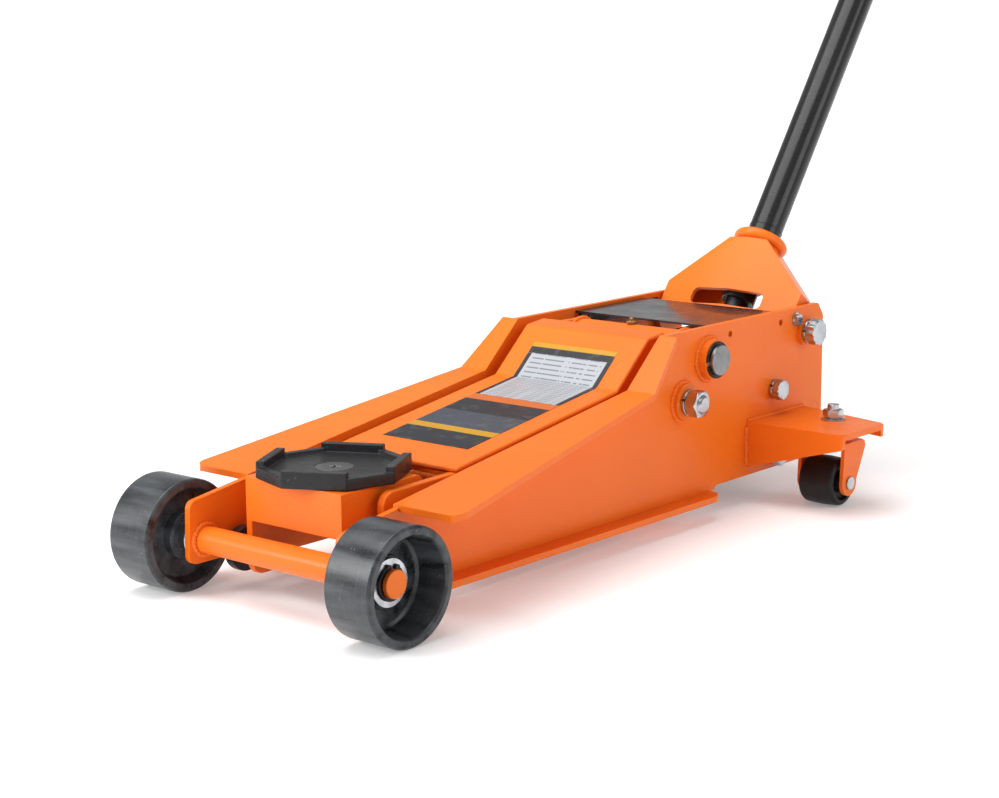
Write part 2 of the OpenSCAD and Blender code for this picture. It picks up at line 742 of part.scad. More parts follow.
// Valve spindle whose cup holds the ball on the handle's end, so that twisting the handle turns it
module release_valve() {
    color(black) centred() on_handle() difference() {
        union() {
            translate([0, 0, -stem_len]) cylinder(h = stem_len - 4, d = stem_d);
            intersection() {
                sphere(r = cup_r);
                translate([-20, -20, -40]) cube([40, 40, 39]);
            }
        }
        sphere(r = ball_r + 0.3);
    }
}

cover_sheet_t = 2;
cover_y0 = shaft_y + 20;
cover_y1 = handle_y - 36;
cover_top_z = frame_top_z - 3;
cover_hole_z = frame_top_z - 12;
cover_hole_d = 6.6;
cover_holes = [shaft_y + 37.8, shaft_y + 128.8, handle_y - 17.5];
module pump_cover() {
    side_x = inner_x - 0.2;
    color(black) centred() union() {
        translate([-side_x, cover_y0, cover_top_z - cover_sheet_t])
            cube([2 * side_x, cover_y1 - cover_y0, cover_sheet_t]);
        both_sides() difference() {
            translate([side_x - 1.6, cover_y0 + 6, cover_hole_z - 7])
                cube([1.6, handle_y - 18 - cover_y0, cover_top_z - cover_hole_z + 5]);
            for (y = cover_holes) bar_x(side_x - 3, side_x + 1, y, cover_hole_z, cover_hole_d);
        }
    }
}

// Pan head screws through the plates into the cover's rear ears
module cover_screws() {
    color(zinc) centred() both_sides() {
        bar_x(inner_x - 1.8, outer_x + 1.5, cover_holes[2], cover_hole_z, cover_hole_d - 0.6);
        ring_x(outer_x + 0.1, outer_x + 1.5, cover_holes[2], cover_hole_z, 14, cover_hole_d - 0.4);
        difference() {
            bar_x(outer_x + 1.5, outer_x + 5.5, cover_holes[2], cover_hole_z, 11);
            for (a = [20, 110]) translate([outer_x + 3.5, cover_holes[2], cover_hole_z])
                rotate([a, 0, 0]) translate([0, -3, -0.6]) cube([3, 6, 1.2]);
        }
    }
}

// ---- Handle ----

module socket_half() {
    slope = atan2(socket_z2 - socket_z1, socket_x - apex_x);
    wall_y = -edge_n;
    // front plate, from the ridge to the side
    intersection() {
        linear_extrude(socket_z2) polygon([[0, -ridge_n], [socket_x, wall_y], [socket_x, wall_y + socket_t],
            [0, -ridge_n + socket_t]]);
        along_y(-ridge_n - 1, 0) difference() {
            polygon([[0, socket_z0], [socket_x, socket_z0], [socket_x, socket_z1], [apex_x, socket_z2],
                [0, socket_z2]]);
            polygon(rounded([[-9, 8], [44.5, 8], [44.5, 27], [-9, 27]], [0, 7, 7, 0]));
        }
    }
    // sloping side wall
    along_y(wall_y + 1, wall_back) polygon([[socket_x, socket_z1], [apex_x, socket_z2],
        [apex_x - socket_t * sin(slope), socket_z2 - socket_t * cos(slope)],
        [socket_x - socket_t, socket_z1 - socket_t * tan(slope / 2)], [socket_x, socket_z1 - 2]]);
    // rear plate, beside the handle
    along_y(wall_back - socket_t, wall_back) polygon([[handle_d / 2 + 1.5, 14], [socket_x, 14],
        [socket_x, socket_z1], [apex_x, socket_z2], [handle_d / 2 + 1.5, socket_z2 - 4]]);
}

// Folded plate whose left cheek carries the pin of the roller that drives the plunger
module handle_socket() {
    pusher = pusher_r * [cos(handle_tilt), -sin(handle_tilt)];
    color(orange) centred() on_handle() difference() {
        union() {
            both_sides() {
                socket_half();
                along_x(socket_x - socket_t, socket_x) union() {
                    circle(r = edge_n + 1);
                    translate([-edge_n, 0]) square([edge_n + wall_back, socket_z1]);
                }
            }
            bar_x(-socket_x + 1, plunger_x + 13, pusher.x, pusher.y, pusher_pin_d);
            along_x(-socket_x, -socket_x + socket_t) union() {
                translate(pusher) circle(r = pusher_pin_d / 2 + 4);
                rotate(-handle_tilt) translate([0, -pusher_pin_d / 2 - 4])
                    square([pusher_r, pusher_pin_d + 8]);
            }
        }
        bar_x(-inner_x, inner_x, 0, 0, pivot_bolt_d + 2 * run_gap);
        translate([0, 0, sleeve_z0 - 1]) cylinder(h = socket_z2, d = sleeve_d + 2 * seat_gap);
    }
}

// Tube welded inside the folded plate, with a thick rolled lip at its top
module socket_sleeve() {
    bore = handle_d + 2 * run_gap;
    lip_r = (collar_d - bore) / 4;
    color(orange) centred() on_handle() difference() {
        union() {
            translate([0, 0, sleeve_z0]) cylinder(h = collar_z1 - lip_r - sleeve_z0, d = sleeve_d);
            translate([0, 0, collar_z1 - lip_r]) rotate_extrude() translate([collar_d / 2 - lip_r, 0])
                circle(r = lip_r, $fn = 32);
        }
        translate([0, 0, sleeve_z0 - 1]) cylinder(h = collar_z1 - sleeve_z0 + 2, d = bore);
    }
}

module pusher_roller() {
    color(steel) centred() ring_x(plunger_x - 11, plunger_x + 11, pusher_y, pusher_z, pusher_d,
        pusher_pin_d + 2 * run_gap);
}

pivot_head_x0 = outer_x + bolt_boss_t + 4;
pivot_head_t = 11;
module handle_pivot_bolts() {
    color(zinc) centred() both_sides() {
        bar_x(socket_x - socket_t - 2, pivot_head_x0, handle_y, handle_z, pivot_bolt_d);
        hex_x(pivot_head_x0, pivot_head_x0 + pivot_head_t, handle_y, handle_z, pivot_bolt_d * 1.5);
        ring_x(socket_x + face_gap, inner_x - 0.1, handle_y, handle_z, pivot_bolt_d + 8,
            pivot_bolt_d + 2 * seat_gap);
    }
}

module tube(z0, z1, d, bore) {
    translate([0, 0, z0]) difference() {
        cylinder(h = z1 - z0, d = d);
        translate([0, 0, -1]) cylinder(h = z1 - z0 + 2, d = bore);
    }
}

handle_bore = handle_d - 2 * handle_wall;
module handle_lower_tube() {
    color(black) centred() on_handle() tube(handle_z0, handle_joint, handle_d, handle_bore);
}

module handle_upper_tube() {
    spigot_d = handle_bore - 0.2;
    color(black) centred() on_handle() union() {
        tube(handle_joint + 0.1, handle_len - 6, handle_d, handle_bore);
        tube(handle_joint - 60, handle_joint + 10, spigot_d, handle_bore - 6);
    }
}

module handle_grip() {
    grip_len = 140;
    color(black) centred() on_handle() difference() {
        translate([0, 0, handle_len - grip_len]) cylinder(h = grip_len, r = grip_r);
        translate([0, 0, handle_len - grip_len - 1]) cylinder(h = grip_len - 4.9, d = handle_d + 0.1);
    }
}

// Plug in the tube's lower end, with the ball that turns the release valve
module handle_drive() {
    color(black) centred() on_handle() union() {
        sphere(r = ball_r);
        cylinder(h = 16, d = 10);
        translate([0, 0, 14]) cylinder(h = handle_z0 - 14, d = 25);
        translate([0, 0, handle_z0 - 0.1]) cylinder(h = 30, d = handle_bore - 0.1);
    }
}

// ---- Casters ----

module caster_bracket() {
    rear_y = bracket_y0 + 106;
    tip_y = bracket_y0 + 78;
    difference() {
        union() {
            translate([0, 0, bracket_z - bracket_t]) linear_extrude(bracket_t) polygon(rounded(
                [[outer_x, bracket_y0], [bracket_x1, bracket_y0], [bracket_x1, tip_y], [outer_x, rear_y]],
                [0, 10, 8, 0]));
            along_y(bracket_y0, bracket_y0 + bracket_t) polygon(rounded([[outer_x, frame_low_z + 9],
                [bracket_x1 - 1, bracket_z - 15], [bracket_x1 - 1, bracket_z - 1],
                [outer_x, bracket_z - 1]], [2, 5, 0, 0]));
            intersection() {
                linear_extrude(bracket_z) polygon([[outer_x, rear_y], [bracket_x1 - 1, tip_y],
                    [bracket_x1 - 1, tip_y - 5], [outer_x, rear_y - 5]]);
                translate([outer_x, bracket_y0, bracket_z - 13])
                    cube([bracket_x1 - 1 - outer_x, 110, 12]);
            }
        }
        translate([caster_x, caster_y, bracket_z - bracket_t - 1])
            cylinder(h = bracket_t + 2, d = king_d + 2 * seat_gap);
    }
}

module right_caster_bracket() {
    color(orange) centred() caster_bracket();
}

module left_caster_bracket() {
    color(orange) centred() mirror([1, 0, 0]) caster_bracket();
}

module at_caster() {
    translate([caster_x, caster_y, 0]) children();
}

king_top_z = bracket_z + 16;
module caster_kingpins() {
    head_z = fork_top_z - fork_t - 4.4;
    color(zinc) centred() both_sides() at_caster() {
        translate([0, 0, head_z]) cylinder(h = king_top_z - head_z, d = king_d);
        translate([0, 0, head_z]) cylinder(h = 4, d = king_d + 9, $fn = 6);
    }
}

module caster_nuts() {
    color(zinc) centred() both_sides() at_caster() difference() {
        union() {
            translate([0, 0, bracket_z]) cylinder(h = 2.5, d = king_d * 2.1);
            translate([0, 0, bracket_z + 2.4]) cylinder(h = 8.5, d = king_d * 1.5 / cos(30), $fn = 6);
        }
        translate([0, 0, bracket_z - 1]) cylinder(h = 14, d = king_d + 2 * seat_gap);
    }
}

// Upper races and the balls under them
race_d = 42;
ball_ring_r = 15;
module caster_bearings() {
    race_z = bracket_z - bracket_t - race_h;
    color(zinc) centred() both_sides() at_caster() {
        difference() {
            translate([0, 0, race_z]) cylinder(h = race_h, d = race_d);
            translate([0, 0, race_z - 1]) cylinder(h = race_h + 2, d = king_d + 2 * seat_gap);
        }
        for (a = [0:30:359]) rotate(a) translate([ball_ring_r, 0, race_z - ball_d / 2])
            sphere(d = ball_d - 0.1, $fn = 24);
    }
}

axle_z2 = caster_d / 2;
module caster_fork() {
    leg_y = -caster_trail;
    plate_z = fork_top_z - fork_t;
    difference() {
        union() {
            both_sides() along_x(fork_x1 - fork_t, fork_x1) union() {
                translate([leg_y, axle_z2]) circle(r = leg_r);
                polygon(rounded([[-20, fork_top_z], [23, fork_top_z], [leg_y + leg_r, axle_z2 + 2],
                    [leg_y - leg_r, axle_z2 + 2]], [3, 6, 0, 0]));
            }
            translate([-fork_x1 + 1, -16, plate_z]) cube([2 * fork_x1 - 2, 32, fork_t]);
            translate([0, 0, plate_z]) cylinder(h = fork_t + race_h - 0.35, d = race_d - 4);
        }
        translate([0, 0, plate_z - 1]) cylinder(h = 12, d = king_d + 2 * run_gap);
        bar_x(-fork_x1 - 1, fork_x1 + 1, leg_y, axle_z2, caster_axle_d + 2 * seat_gap);
    }
}

module caster_wheel() {
    half = caster_w / 2;
    r = caster_d / 2;
    bore_r = caster_axle_d / 2 + run_gap;
    translate([0, -caster_trail, r]) rotate([0, 90, 0]) rotate_extrude() polygon(concat(
        [[bore_r, -half - 2], [11, -half - 2], [11, -half + 5], [r - 7, -half + 5]],
        rounded([[r - 6.5, -half], [r - 1, -half], [r, 0], [r - 1, half], [r - 6.5, half]], [0, 4, 60, 4, 0]),
        [[r - 7, half - 5], [11, half - 5], [11, half + 2], [bore_r, half + 2]]));
}

module caster_axle() {
    bar_x(-fork_x1, fork_x1, -caster_trail, axle_z2, caster_axle_d);
    both_sides() bar_x(fork_x1, fork_x1 + 2, -caster_trail, axle_z2, caster_axle_d + 3.5);
}

module right_caster_fork() {
    color(orange) centred() at_caster() caster_fork();
}

module left_caster_fork() {
    color(orange) centred() mirror([1, 0, 0]) at_caster() caster_fork();
}

module right_caster_wheel() {
    color(black) centred() at_caster() caster_wheel();
}

module left_caster_wheel() {
    color(black) centred() mirror([1, 0, 0]) at_caster() caster_wheel();
}

module right_caster_axle() {
    color(zinc) centred() at_caster() caster_axle();
}

module left_caster_axle() {
    color(zinc) centred() mirror([1, 0, 0]) at_caster() caster_axle();
}

left_side_plate();
right_side_plate();
frame_cross_members();
front_axle();
lift_arm_shaft();
snap_rings();
left_front_roller();
right_front_roller();
roller_washers();
left_arm_cheek();
right_arm_cheek();
arm_cover();
arm_cross_web();
arm_hub();
arm_bushes();
grease_nipple();
arm_label();
crank_roller();
yoke();
yoke_pins();
yoke_pin_rings();
yoke_spacers();
saddle();
saddle_screw();
left_radius_rod();
right_radius_rod();
rod_studs();
rod_nuts();
spring_washers();
pump_block();
gland_nut();
ram();
ram_head();
return_springs();
pump_bolts();
reservoir();
pump_plunger();
plunger_spring();
release_valve();
pump_cover();
cover_screws();
handle_socket();
socket_sleeve();
pusher_roller();
handle_pivot_bolts();
handle_lower_tube();
handle_upper_tube();
handle_grip();
handle_drive();
left_caster_bracket();
right_caster_bracket();
caster_kingpins();
caster_nuts();
caster_bearings();
left_caster_fork();
right_caster_fork();
left_caster_wheel();
right_caster_wheel();
left_caster_axle();
right_caster_axle();
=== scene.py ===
import json
import math

import bmesh
import bpy
from mathutils import Matrix, Vector


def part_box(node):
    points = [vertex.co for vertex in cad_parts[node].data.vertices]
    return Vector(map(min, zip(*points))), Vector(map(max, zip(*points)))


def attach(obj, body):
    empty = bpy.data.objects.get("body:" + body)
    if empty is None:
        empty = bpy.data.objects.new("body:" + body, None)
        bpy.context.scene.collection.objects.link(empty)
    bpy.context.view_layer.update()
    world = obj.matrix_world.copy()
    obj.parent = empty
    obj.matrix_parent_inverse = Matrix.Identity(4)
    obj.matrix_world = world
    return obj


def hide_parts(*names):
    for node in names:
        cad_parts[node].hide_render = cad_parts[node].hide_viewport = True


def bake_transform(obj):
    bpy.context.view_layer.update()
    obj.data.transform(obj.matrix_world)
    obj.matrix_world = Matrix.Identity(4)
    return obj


print("loading the frame")
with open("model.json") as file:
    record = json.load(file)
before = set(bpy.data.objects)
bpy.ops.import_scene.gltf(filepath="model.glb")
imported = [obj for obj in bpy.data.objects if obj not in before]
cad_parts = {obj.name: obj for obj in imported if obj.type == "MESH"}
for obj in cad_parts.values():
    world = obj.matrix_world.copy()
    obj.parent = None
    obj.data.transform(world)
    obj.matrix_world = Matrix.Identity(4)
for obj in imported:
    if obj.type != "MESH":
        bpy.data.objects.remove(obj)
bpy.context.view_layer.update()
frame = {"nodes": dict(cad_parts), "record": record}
nodes = frame["nodes"]
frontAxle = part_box("front_axle")
axleY = (frontAxle[0].y + frontAxle[1].y) / 2


def place(x, y, z):
    # millimetres back from the front axle and up from the floor, as a point in the frame
    return Vector((x / 1000, y / 1000 + axleY, z / 1000))


pivots = {  # where the jack turns, in the same millimetres
    "axle": (0, 50),
    "shaft": (494, 158.4),
    "rodStud": (452, 122.4),
    "handle": (668, 164),
    "pumpBolts": ((611.5, 43), (611.5, 111)),
    "caster": (155.5, 625),
}
handleTilt = math.radians(54)
outerX = 93
innerX = 87


def onHandle(x, y, z):
    # a point laid out along the handle: z up the tube, -y towards the jack's front
    turn = handleTilt - math.pi / 2
    homeY, homeZ = pivots["handle"]
    return place(
        x,
        homeY + y * math.cos(turn) - z * math.sin(turn),
        homeZ + y * math.sin(turn) + z * math.cos(turn),
    )


def wire(tree, node, wires):
    # links each input to another node's socket, or sets it to a plain value
    for key, value in wires.items():
        if isinstance(value, bpy.types.NodeSocket):
            tree.links.new(value, node.inputs[key])
        else:
            node.inputs[key].default_value = value


def add(tree, kind, wires=None, **settings):
    node = tree.nodes.new(kind)
    for key, value in settings.items():
        setattr(node, key, value)
    wire(tree, node, wires or {})
    return node


def sums(tree, operation, first, second=0.0, third=0.0):
    wires = {0: first, 1: second, 2: third}
    return add(tree, "ShaderNodeMath", wires, operation=operation).outputs[0]


def grain(tree, spot, scale, detail=3.0, stretch=None, offset=(0, 0, 0)):
    wires = {"Vector": spot, "Location": offset}
    if stretch:
        wires["Scale"] = stretch
    moved = add(tree, "ShaderNodeMapping", wires).outputs[0]
    noise = add(tree, "ShaderNodeTexNoise", {"Vector": moved, "Scale": scale, "Detail": detail})
    return noise.outputs["Fac"]


def spread(tree, value, low, high, toLow, toHigh):
    wires = {"Value": value, "From Min": low, "From Max": high, "To Min": toLow, "To Max": toHigh}
    return add(tree, "ShaderNodeMapRange", wires).outputs["Result"]


def blendColour(tree, share, first, second):
    wires = {0: share}  # a colour mix takes its two colours at inputs 6 and 7
    for index, colour in ((6, first), (7, second)):
        wires[index] = colour if isinstance(colour, bpy.types.NodeSocket) else (*colour, 1)
    return add(tree, "ShaderNodeMix", wires, data_type="RGBA").outputs[2]


print("camera and light")
cameraSet = {
    "place": (1233.4, -1161.16, 507.37),
    "forward": (-0.63586, 0.74804, -0.19005),
    "up": (-0.11686, 0.15009, 0.98174),
    "lens": 75.27,
}


def setCamera(look):
    data = bpy.data.cameras.new("jackCamera")
    data.lens = look["lens"]
    data.sensor_width = 36
    data.clip_end = 30
    camera = bpy.data.objects.new("jackCamera", data)
    bpy.context.scene.collection.objects.link(camera)
    forward = Vector(look["forward"]).normalized()
    right = forward.cross(Vector(look["up"])).normalized()
    up = right.cross(forward)
    turn = Matrix((right, up, -forward)).transposed().to_4x4()
    camera.matrix_world = Matrix.Translation(place(*look["place"])) @ turn
    bpy.context.scene.camera = camera


setCamera(cameraSet)

lightSet = {
    # name: place in metres, point looked at, size, watts
    "overhead": ((-0.4, -0.8, 2.5), (0, -0.2, 0.1), 2.2, 62),
    "frontLeft": ((-1.5, -2.8, 1.4), (0, -0.4, 0.1), 1.4, 64),
    "rightSide": ((2.8, 0.5, 1.5), (0.1, -0.1, 0.1), 1.4, 17),
}
skySet = {"low": 0.04, "high": 0.22, "horizon": 1.1, "above": 0.36}


def setLights(lights, sky):
    for name, (spot, target, size, watts) in lights.items():
        data = bpy.data.lights.new(name, "AREA")
        data.shape = "SQUARE"
        data.size = size
        data.energy = watts
        lamp = bpy.data.objects.new(name, data)
        bpy.context.scene.collection.objects.link(lamp)
        lamp.location = spot
        lamp.rotation_euler = (Vector(target) - Vector(spot)).to_track_quat("-Z", "Y").to_euler()
    world = bpy.data.worlds.new("studio")
    world.use_nodes = True
    tree = world.node_tree
    # white round the horizon, softer higher up
    spot = add(tree, "ShaderNodeTexCoord").outputs["Generated"]
    height = add(tree, "ShaderNodeSeparateXYZ", {"Vector": spot}).outputs["Z"]
    strength = spread(tree, height, sky["low"], sky["high"], sky["horizon"], sky["above"])
    wire(tree, tree.nodes["Background"], {"Strength": strength, "Color": (1, 1, 1, 1)})
    bpy.context.scene.world = world
    bpy.context.scene.view_settings.view_transform = "Standard"


setLights(lightSet, skySet)

print("finishes")


def startFinish(name):
    made = bpy.data.materials.new(name)
    made.use_nodes = True
    tree = made.node_tree
    tree.nodes.clear()
    output = tree.nodes.new("ShaderNodeOutputMaterial")
    shader = tree.nodes.new("ShaderNodeBsdfPrincipled")
    tree.links.new(shader.outputs["BSDF"], output.inputs["Surface"])
    spot = tree.nodes.new("ShaderNodeTexCoord").outputs["Object"]
    return made, tree, shader, spot


def relief(tree, shader, heights):
    # heights: pairs of a height and its depth in metres, stacked one over the other
    below = None
    for height, depth in heights:
        wires = {"Height": height, "Strength": 1.0, "Distance": depth}
        if below:
            wires["Normal"] = below
        below = add(tree, "ShaderNodeBump", wires).outputs["Normal"]
    tree.links.new(below, shader.inputs["Normal"])


def enamel(name, look):
    made, tree, shader, spot = startFinish(name)
    cloud = grain(tree, spot, 5, 2)
    shade = spread(tree, cloud, 0.35, 0.65, 0, 1)
    colour = blendColour(tree, shade, look["colour"], look["shade"])
    dust = spread(tree, grain(tree, spot, 620, 2), 0.70, 0.76, 0, look["dust"])
    rubbed = grain(tree, spot, 34, 4, (1, 1, 3))
    surface = {
        "Base Color": blendColour(tree, dust, colour, look["dustColour"]),
        "Roughness": spread(tree, rubbed, 0.3, 0.7, *look["rough"]),
        "Specular IOR Level": look["specular"],
        "Coat Weight": look["coat"],
        "Coat Roughness": look["coatRough"],
    }
    wire(tree, shader, surface)
    peel = grain(tree, spot, look["peel"], 1)
    sag = grain(tree, spot, 55, 2)
    relief(tree, shader, [(sag, look["sagDepth"]), (peel, look["peelDepth"])])
    return made


orangePaint = enamel(
    "orangePaint",
    {
        "colour": (0.88, 0.175, 0.012),
        "shade": (0.83, 0.152, 0.009),
        "dust": 0.25,
        "dustColour": (0.95, 0.6, 0.4),
        "rough": (0.30, 0.42),
        "specular": 0.2,
        "coat": 0.1,
        "coatRough": 0.12,
        "peel": 330,
        "peelDepth": 0.00006,
        "sagDepth": 0.00035,
    },
)
blackPaint = enamel(
    "blackPaint",
    {
        "colour": (0.012, 0.012, 0.013),
        "shade": (0.017, 0.017, 0.019),
        "dust": 0.12,
        "dustColour": (0.35, 0.35, 0.36),
        "rough": (0.22, 0.36),
        "specular": 0.2,
        "coat": 0.3,
        "coatRough": 0.06,
        "peel": 420,
        "peelDepth": 0.00004,
        "sagDepth": 0.0002,
    },
)


def rollerIron(name, look):
    made, tree, shader, spot = startFinish(name)
    streaks = grain(tree, spot, 26, 5, (0.5, 3, 3))
    # lighter streaks and rings blend in a lighter grey: partly real wear on the tread, partly
    # painted sheen standing in for its highlights
    colour = blendColour(tree, spread(tree, streaks, 0.35, 0.7, 0, 1), look["colour"], look["wearAndSheen"])
    rings = grain(tree, spot, 240, 2, (4, 0.15, 0.15))
    colour = blendColour(tree, spread(tree, rings, 0.5, 0.75, 0, 0.4), colour, look["wearAndSheen"])
    specks = spread(tree, grain(tree, spot, 520, 2), 0.71, 0.75, 0, 0.7)
    surface = {
        "Base Color": blendColour(tree, specks, colour, look["speck"]),
        "Roughness": spread(tree, streaks, 0.3, 0.7, *look["rough"]),
        "Specular IOR Level": look["specular"],
        "Coat Weight": look["coat"],
        "Coat Roughness": look["coatRough"],
    }
    wire(tree, shader, surface)
    relief(tree, shader, [(rings, 0.0001), (grain(tree, spot, 700, 3), 0.00008)])
    return made


rollerBlack = rollerIron(
    "rollerBlack",
    {
        "colour": (0.008, 0.009, 0.011),
        # lighter grey of the streaks: part wear, part painted sheen
        "wearAndSheen": (0.075, 0.082, 0.09),
        "speck": (0.3, 0.31, 0.33),
        "rough": (0.24, 0.4),
        "specular": 0.36,
        "coat": 0.12,
        "coatRough": 0.25,
    },
)


def casting(name, look):
    made, tree, shader, spot = startFinish(name)
    cloud = spread(tree, grain(tree, spot, 14, 3), 0.35, 0.7, 0, 1)
    colour = blendColour(tree, cloud, look["colour"], look["shade"])
    specks = spread(tree, grain(tree, spot, 480, 2), 0.70, 0.74, 0, 0.4)
    surface = {
        "Base Color": blendColour(tree, specks, colour, look["speck"]),
        "Roughness": spread(tree, cloud, 0, 1, *look["rough"]),
        "Specular IOR Level": look["specular"],
        "Coat Weight": look["coat"],
        "Coat Roughness": look["coatRough"],
    }
    wire(tree, shader, surface)
    relief(tree, shader, [(grain(tree, spot, 130, 3), 0.0007), (grain(tree, spot, 560, 3), 0.0003)])
    return made


blackCasting = casting(
    "blackCasting",
    {
        "colour": (0.012, 0.012, 0.013),
        "shade": (0.02, 0.02, 0.022),
        "speck": (0.2, 0.2, 0.2),
        "rough": (0.3, 0.48),
        "specular": 0.28,
        "coat": 0.04,
        "coatRough": 0.2,
    },
)


def barMetal(name, look):
    made, tree, shader, spot = startFinish(name)
    cloud = grain(tree, spot, 60, 4)
    shade = spread(tree, cloud, 0.3, 0.7, 0, 1)
    surface = {
        "Base Color": blendColour(tree, shade, look["colour"], look["shade"]),
        "Roughness": spread(tree, cloud, 0.3, 0.7, *look["rough"]),
        "Metallic": 1.0,
    }
    wire(tree, shader, surface)
    lines = grain(tree, spot, 800, 2, look["brushed"])
    relief(tree, shader, [(lines, look["depth"])])
    return made


zincPlate = barMetal(
    "zincPlate",
    {"colour": (0.56, 0.58, 0.61), "shade": (0.4, 0.42, 0.45), "rough": (0.16, 0.32),
     "brushed": (1, 1, 1), "depth": 0.00005},
)
bareSteel = barMetal(
    "bareSteel",
    {"colour": (0.30, 0.30, 0.31), "shade": (0.2, 0.2, 0.2), "rough": (0.26, 0.42),
     "brushed": (3, 0.2, 3), "depth": 0.00006},
)
blackOxide = barMetal(
    "blackOxide",
    {"colour": (0.05, 0.05, 0.055), "shade": (0.03, 0.03, 0.035), "rough": (0.35, 0.5),
     "brushed": (1, 1, 1), "depth": 0.00005},
)
brassMetal = barMetal(
    "brassMetal",
    {"colour": (0.75, 0.55, 0.22), "shade": (0.55, 0.38, 0.14), "rough": (0.25, 0.4),
     "brushed": (1, 1, 1), "depth": 0.00004},
)


def softBlack(name, look):
    made, tree, shader, spot = startFinish(name)
    cloud = spread(tree, grain(tree, spot, 40, 3), 0.35, 0.65, 0, 1)
    surface = {
        "Base Color": blendColour(tree, cloud, look["colour"], look["shade"]),
        "Roughness": spread(tree, cloud, 0, 1, *look["rough"]),
        "Specular IOR Level": look["specular"],
    }
    wire(tree, shader, surface)
    relief(tree, shader, [(grain(tree, spot, look["grain"], 3), look["depth"])])
    return made


gripRubber = softBlack(
    "gripRubber",
    {"colour": (0.018, 0.018, 0.018), "shade": (0.028, 0.028, 0.028), "rough": (0.6, 0.8),
     "specular": 0.35, "grain": 900, "depth": 0.00015},
)
wheelNylon = softBlack(
    "wheelNylon",
    {"colour": (0.008, 0.008, 0.009), "shade": (0.013, 0.013, 0.014), "rough": (0.3, 0.45),
     "specular": 0.25, "grain": 420, "depth": 0.0001},
)

labelSet = {
    "front": 186,
    "end": 406,
    # share of the length where each band starts, and its colour
    "bands": (
        (0.0, (0.022, 0.023, 0.028)),
        (0.145, (0.52, 0.26, 0.008)),
        (0.198, (0.055, 0.062, 0.078)),
        (0.374, (0.022, 0.023, 0.028)),
        (0.516, (0.56, 0.13, 0.02)),
        (0.582, (0.40, 0.42, 0.45)),
        (0.945, (0.022, 0.023, 0.028)),
        (0.972, (0.52, 0.26, 0.008)),
    ),
    "panelBand": 5,  # the pale band that carries the rules
    "halfWidth": 51,
    "border": 5,
    "rowMargin": 4,
    "rowPitch": 4.4,
    "rowShare": 0.3,
    "inkShare": 0.7,
    "ink": (0.10, 0.105, 0.12),
    "scuff": (0.4, 0.35, 0.3),
}


def labelFilm(name, look):
    # printed film: plain coloured bands and faint ruled rows, with no lettering
    made, tree, shader, spot = startFinish(name)
    parts = add(tree, "ShaderNodeSeparateXYZ", {"Vector": spot})
    start = look["front"] / 1000 + axleY
    length = (look["end"] - look["front"]) / 1000
    along = spread(tree, parts.outputs["Y"], start, start + length, 0, 1)
    ramp = add(tree, "ShaderNodeValToRGB", {"Fac": along})
    ramp.color_ramp.interpolation = "CONSTANT"
    stops = ramp.color_ramp.elements
    stops[0].position, stops[0].color = look["bands"][0][0], (*look["bands"][0][1], 1)
    stops[1].position, stops[1].color = look["bands"][1][0], (*look["bands"][1][1], 1)
    for share, colour in look["bands"][2:]:
        stops.new(share).color = (*colour, 1)
    panel = look["panelBand"]
    (panelStart, _), (panelEnd, dark) = look["bands"][panel : panel + 2]
    inPanel = sums(
        tree,
        "MULTIPLY",
        sums(tree, "GREATER_THAN", along, panelStart),
        sums(tree, "LESS_THAN", along, panelEnd),
    )
    across = sums(tree, "ABSOLUTE", parts.outputs["X"])
    edge = (look["halfWidth"] - look["border"]) / 1000
    inBorder = sums(tree, "MULTIPLY", sums(tree, "GREATER_THAN", across, edge), inPanel)
    colour = blendColour(tree, inBorder, ramp.outputs["Color"], dark)
    rows = sums(tree, "FRACT", sums(tree, "DIVIDE", parts.outputs["Y"], look["rowPitch"] / 1000))
    rule = sums(tree, "LESS_THAN", rows, look["rowShare"])
    broken = sums(tree, "GREATER_THAN", grain(tree, spot, 330, 1, (1, 0.05, 0.05)), 0.42)
    inside = sums(tree, "LESS_THAN", across, edge - look["rowMargin"] / 1000)
    shown = sums(tree, "MULTIPLY", inside, inPanel)
    ink = sums(tree, "MULTIPLY", sums(tree, "MULTIPLY", rule, broken), shown)
    ink = sums(tree, "MULTIPLY", ink, look["inkShare"])
    colour = blendColour(tree, ink, colour, look["ink"])
    scuff = spread(tree, grain(tree, spot, 90, 4), 0.55, 0.75, 0, 0.15)
    surface = {
        "Base Color": blendColour(tree, scuff, colour, look["scuff"]),
        "Roughness": spread(tree, grain(tree, spot, 50, 3), 0.3, 0.7, 0.28, 0.42),
        "Specular IOR Level": 0.3,
    }
    wire(tree, shader, surface)
    relief(tree, shader, [(grain(tree, spot, 260, 2), 0.00004)])
    return made


labelPrint = labelFilm("labelPrint", labelSet)

print("edges and finishes of the frame's pieces")
finishOf = {
    "orange_paint": orangePaint,
    "black_paint": blackPaint,
    "black_oxide": blackOxide,
    "zinc_plate": zincPlate,
    "black_casting": blackCasting,
    "bare_steel": bareSteel,
    "brass": brassMetal,
    "grip_rubber": gripRubber,
    "wheel_plastic": wheelNylon,
    "label_film": labelPrint,
}
slotOf = {part["node"]: part["material_slot"] for part in frame["record"]["subparts"]}
edgeWidth = {  # metres taken off each edge; the rest get the usual width
    "arm_cover": 0.0022,
    "saddle": 0.0018,
    "left_side_plate": 0.0018,
    "right_side_plate": 0.0018,
    "yoke": 0.0014,
    "left_arm_cheek": 0.0014,
    "right_arm_cheek": 0.0014,
    "handle_socket": 0.0012,
    "left_caster_bracket": 0.0024,
    "right_caster_bracket": 0.0024,
    "pump_block": 0.002,
    "reservoir": 0.002,
    "arm_label": 0.0001,
    "grease_nipple": 0.0003,
    "saddle_screw": 0.0004,
    "usual": 0.0007,
}


